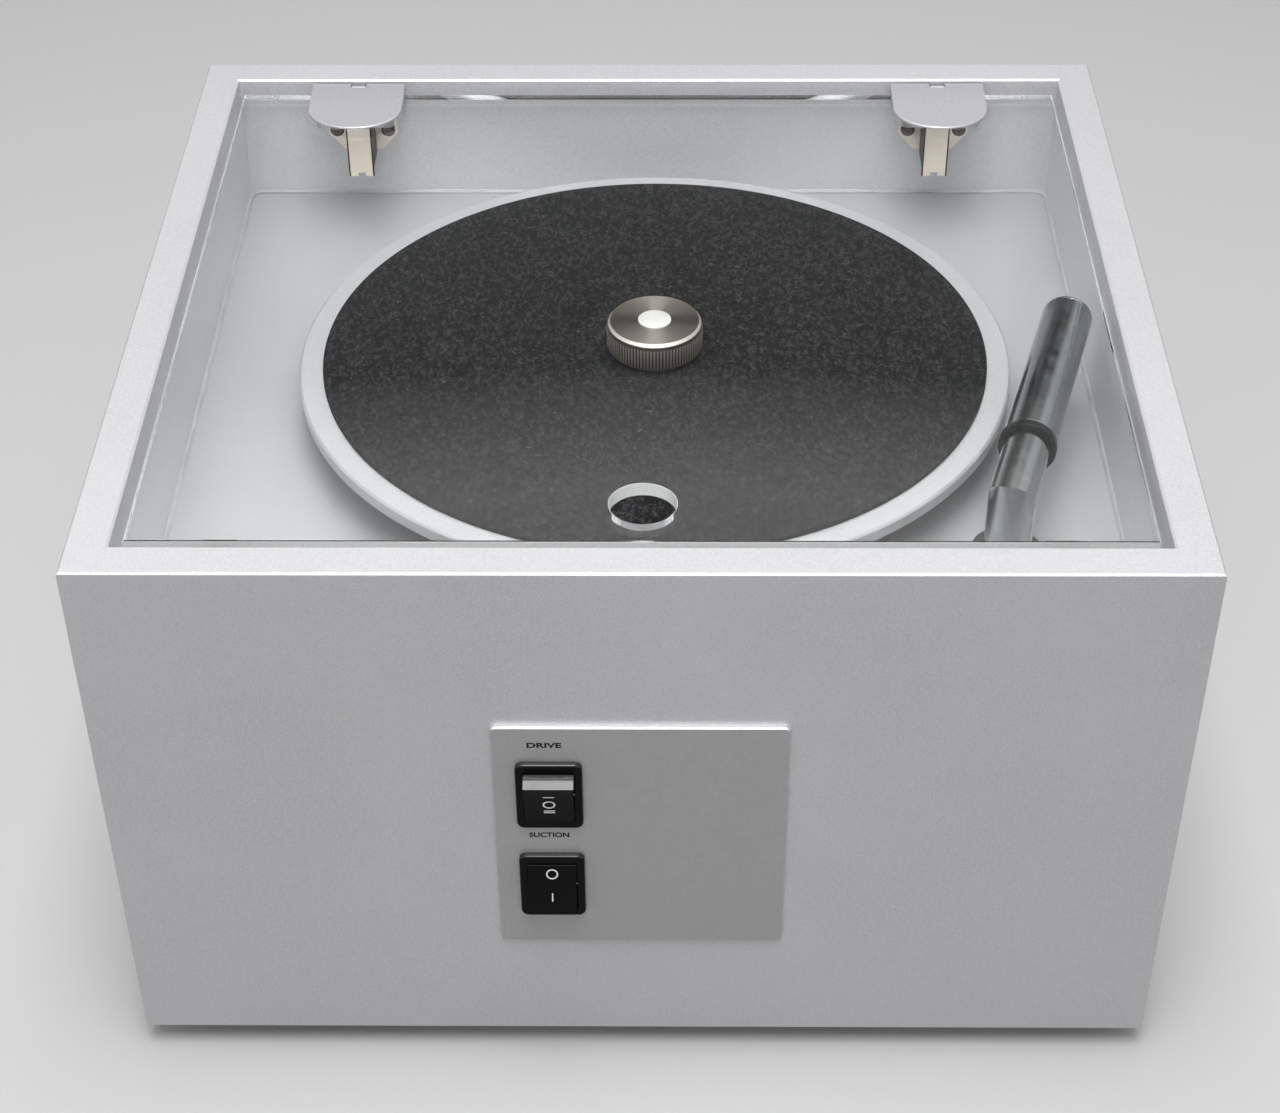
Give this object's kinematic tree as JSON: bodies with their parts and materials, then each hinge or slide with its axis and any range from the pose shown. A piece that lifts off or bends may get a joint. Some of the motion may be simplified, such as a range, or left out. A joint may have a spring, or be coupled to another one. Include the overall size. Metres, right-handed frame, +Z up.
{
  "type": "record cleaning machine",
  "caption": "Record cleaning machine: silver cabinet, glass lid, turning platter, screw clamp, swinging vacuum arm, two rockers.",
  "frame": {"origin": "on the floor, midway between the outermost faces left to right and front to back", "axes": "+X right, +Y to the back, +Z up"},
  "size_m": [0.405, 0.3904, 0.245],
  "materials": {
    "silver_lacquer": "satin",
    "deck_paint": "satin",
    "birch_ply": "matt",
    "clear_sealant": "satin",
    "black_rubber": "matt",
    "bright_aluminium": "satin",
    "black_gloss_plastic": "gloss",
    "terminal_brass": "satin",
    "clear_glass": "polished",
    "zinc_steel": "satin",
    "polished_steel": "polished",
    "nickel_plate": "satin",
    "black_felt": "matt",
    "turned_aluminium": "satin",
    "motor_can": "satin",
    "chromed_tube": "polished",
    "black_matt_plastic": "matt",
    "tank_plastic": "satin",
    "hose_plastic": "satin",
    "varnished_winding": "satin"
  },
  "bodies": {
    "cabinet": {"front_panel": "silver_lacquer", "back_panel": "silver_lacquer", "left_panel": "silver_lacquer", "right_panel": "silver_lacquer", "deck": "deck_paint", "deck_battens": "birch_ply", "deck_seal": "clear_sealant", "base_plate": "birch_ply", "feet": "black_rubber", "control_plate": "bright_aluminium", "switch_bodies": "black_gloss_plastic", "switch_terminals": "terminal_brass", "hinge_pins": "polished_steel", "hinge_arms": "nickel_plate", "hinge_wings": "nickel_plate", "hinge_screws": "zinc_steel", "lid_pads": "black_rubber", "bearing_housing": "turned_aluminium", "bearing_bushes": "terminal_brass", "drive_belt": "black_rubber", "motor_plate": "zinc_steel", "drive_motor": "motor_can", "arm_bush": "black_matt_plastic", "arm_spring": "zinc_steel", "waste_tank": "tank_plastic", "tank_lid": "tank_plastic", "drain_spout": "black_matt_plastic", "mount_ring": "black_rubber", "vacuum_motor": "motor_can", "fan_housing": "black_matt_plastic", "vacuum_hose": "hose_plastic", "service_plate": "zinc_steel", "mains_inlet": "black_matt_plastic", "inlet_pins": "terminal_brass", "transformer": "varnished_winding", "cabinet_screws": "zinc_steel"},
    "lid": {"lid_glass": "clear_glass", "hinge_caps": "bright_aluminium", "hinge_clamps": "zinc_steel", "lid_bolts": "zinc_steel"},
    "platter": {"platter": "bright_aluminium", "platter_mat": "black_felt", "platter_shaft": "polished_steel", "drive_pulley": "turned_aluminium"},
    "motor_pulley": {"motor_pulley": "turned_aluminium", "motor_shaft": "polished_steel"},
    "clamp_pad": {"clamp_pad": "black_rubber"},
    "clamp_knob": {"clamp_knob": "bright_aluminium"},
    "arm_slide": {"stop_ring": "polished_steel"},
    "suction_arm": {"arm_tube": "chromed_tube", "nozzle_tube": "chromed_tube", "nozzle_cap": "chromed_tube", "nozzle_collar": "black_matt_plastic", "velvet_strips": "black_felt"},
    "fan": {"impeller": "black_matt_plastic", "fan_shaft": "polished_steel"},
    "motor_rocker": {"motor_rocker": "black_gloss_plastic"},
    "vacuum_rocker": {"vacuum_rocker": "black_gloss_plastic"},
    "fuse_drawer": {"fuse_drawer": "black_matt_plastic"},
    "drain_cap": {"drain_cap": "black_rubber"}
  },
  "joints": [
    {"name": "lid_hinge", "type": "hinge", "parent": "cabinet", "child": "lid", "pos_m": [0, 0.1768, 0.24215], "axis": [-1, 0, 0], "range_deg": [0, 95]},
    {"name": "platter_spin", "type": "hinge", "parent": "cabinet", "child": "platter", "pos_m": [0.004, 0.0062, 0.2075], "axis": [0, 0, 1], "continuous": true},
    {"name": "motor_pulley_spin", "type": "hinge", "parent": "cabinet", "child": "motor_pulley", "pos_m": [-0.066, -0.0698, 0.103], "axis": [0, 0, 1], "continuous": true},
    {"name": "clamp_rise", "type": "slide", "parent": "platter", "child": "clamp_pad", "axis": [0, 0, 1], "range_m": [0, 0.006]},
    {"name": "clamp_turn", "type": "hinge", "parent": "clamp_pad", "child": "clamp_knob", "pos_m": [0.004, 0.0062, 0.2235], "axis": [0, 0, 1], "range_deg": [0, 1080]},
    {"name": "arm_drop", "type": "slide", "parent": "cabinet", "child": "arm_slide", "axis": [0, 0, 1], "range_m": [-0.0018, 0], "stiffness_N_per_m": 1200, "springref_m": 0.004, "deforming": ["arm_spring"]},
    {"name": "arm_swing", "type": "hinge", "parent": "arm_slide", "child": "suction_arm", "pos_m": [0.138, -0.1118, 0.2228], "axis": [0, 0, 1], "range_deg": [0, 65]},
    {"name": "fan_spin", "type": "hinge", "parent": "cabinet", "child": "fan", "pos_m": [-0.11, 0.0802, 0.08], "axis": [0, 0, 1], "continuous": true},
    {"name": "motor_rocker_tilt", "type": "hinge", "parent": "cabinet", "child": "motor_rocker", "pos_m": [-0.0343, -0.1878, 0.143], "axis": [1, 0, 0], "range_deg": [-28, 0]},
    {"name": "vacuum_rocker_tilt", "type": "hinge", "parent": "cabinet", "child": "vacuum_rocker", "pos_m": [-0.0343, -0.1878, 0.0962], "axis": [1, 0, 0], "range_deg": [0, 28]},
    {"name": "fuse_drawer_slide", "type": "slide", "parent": "cabinet", "child": "fuse_drawer", "axis": [0, 1, 0], "range_m": [0, 0.012]},
    {"name": "drain_cap_slide", "type": "slide", "parent": "cabinet", "child": "drain_cap", "axis": [0, 1, 0], "range_m": [0, 0.02]}
  ],
  "couplings": [
    {"joint": "motor_pulley_spin", "follows": "platter_spin", "ratio": 5.5556},
    {"joint": "clamp_turn", "follows": "clamp_rise", "rad_per_m": 3141.6}
  ]
}
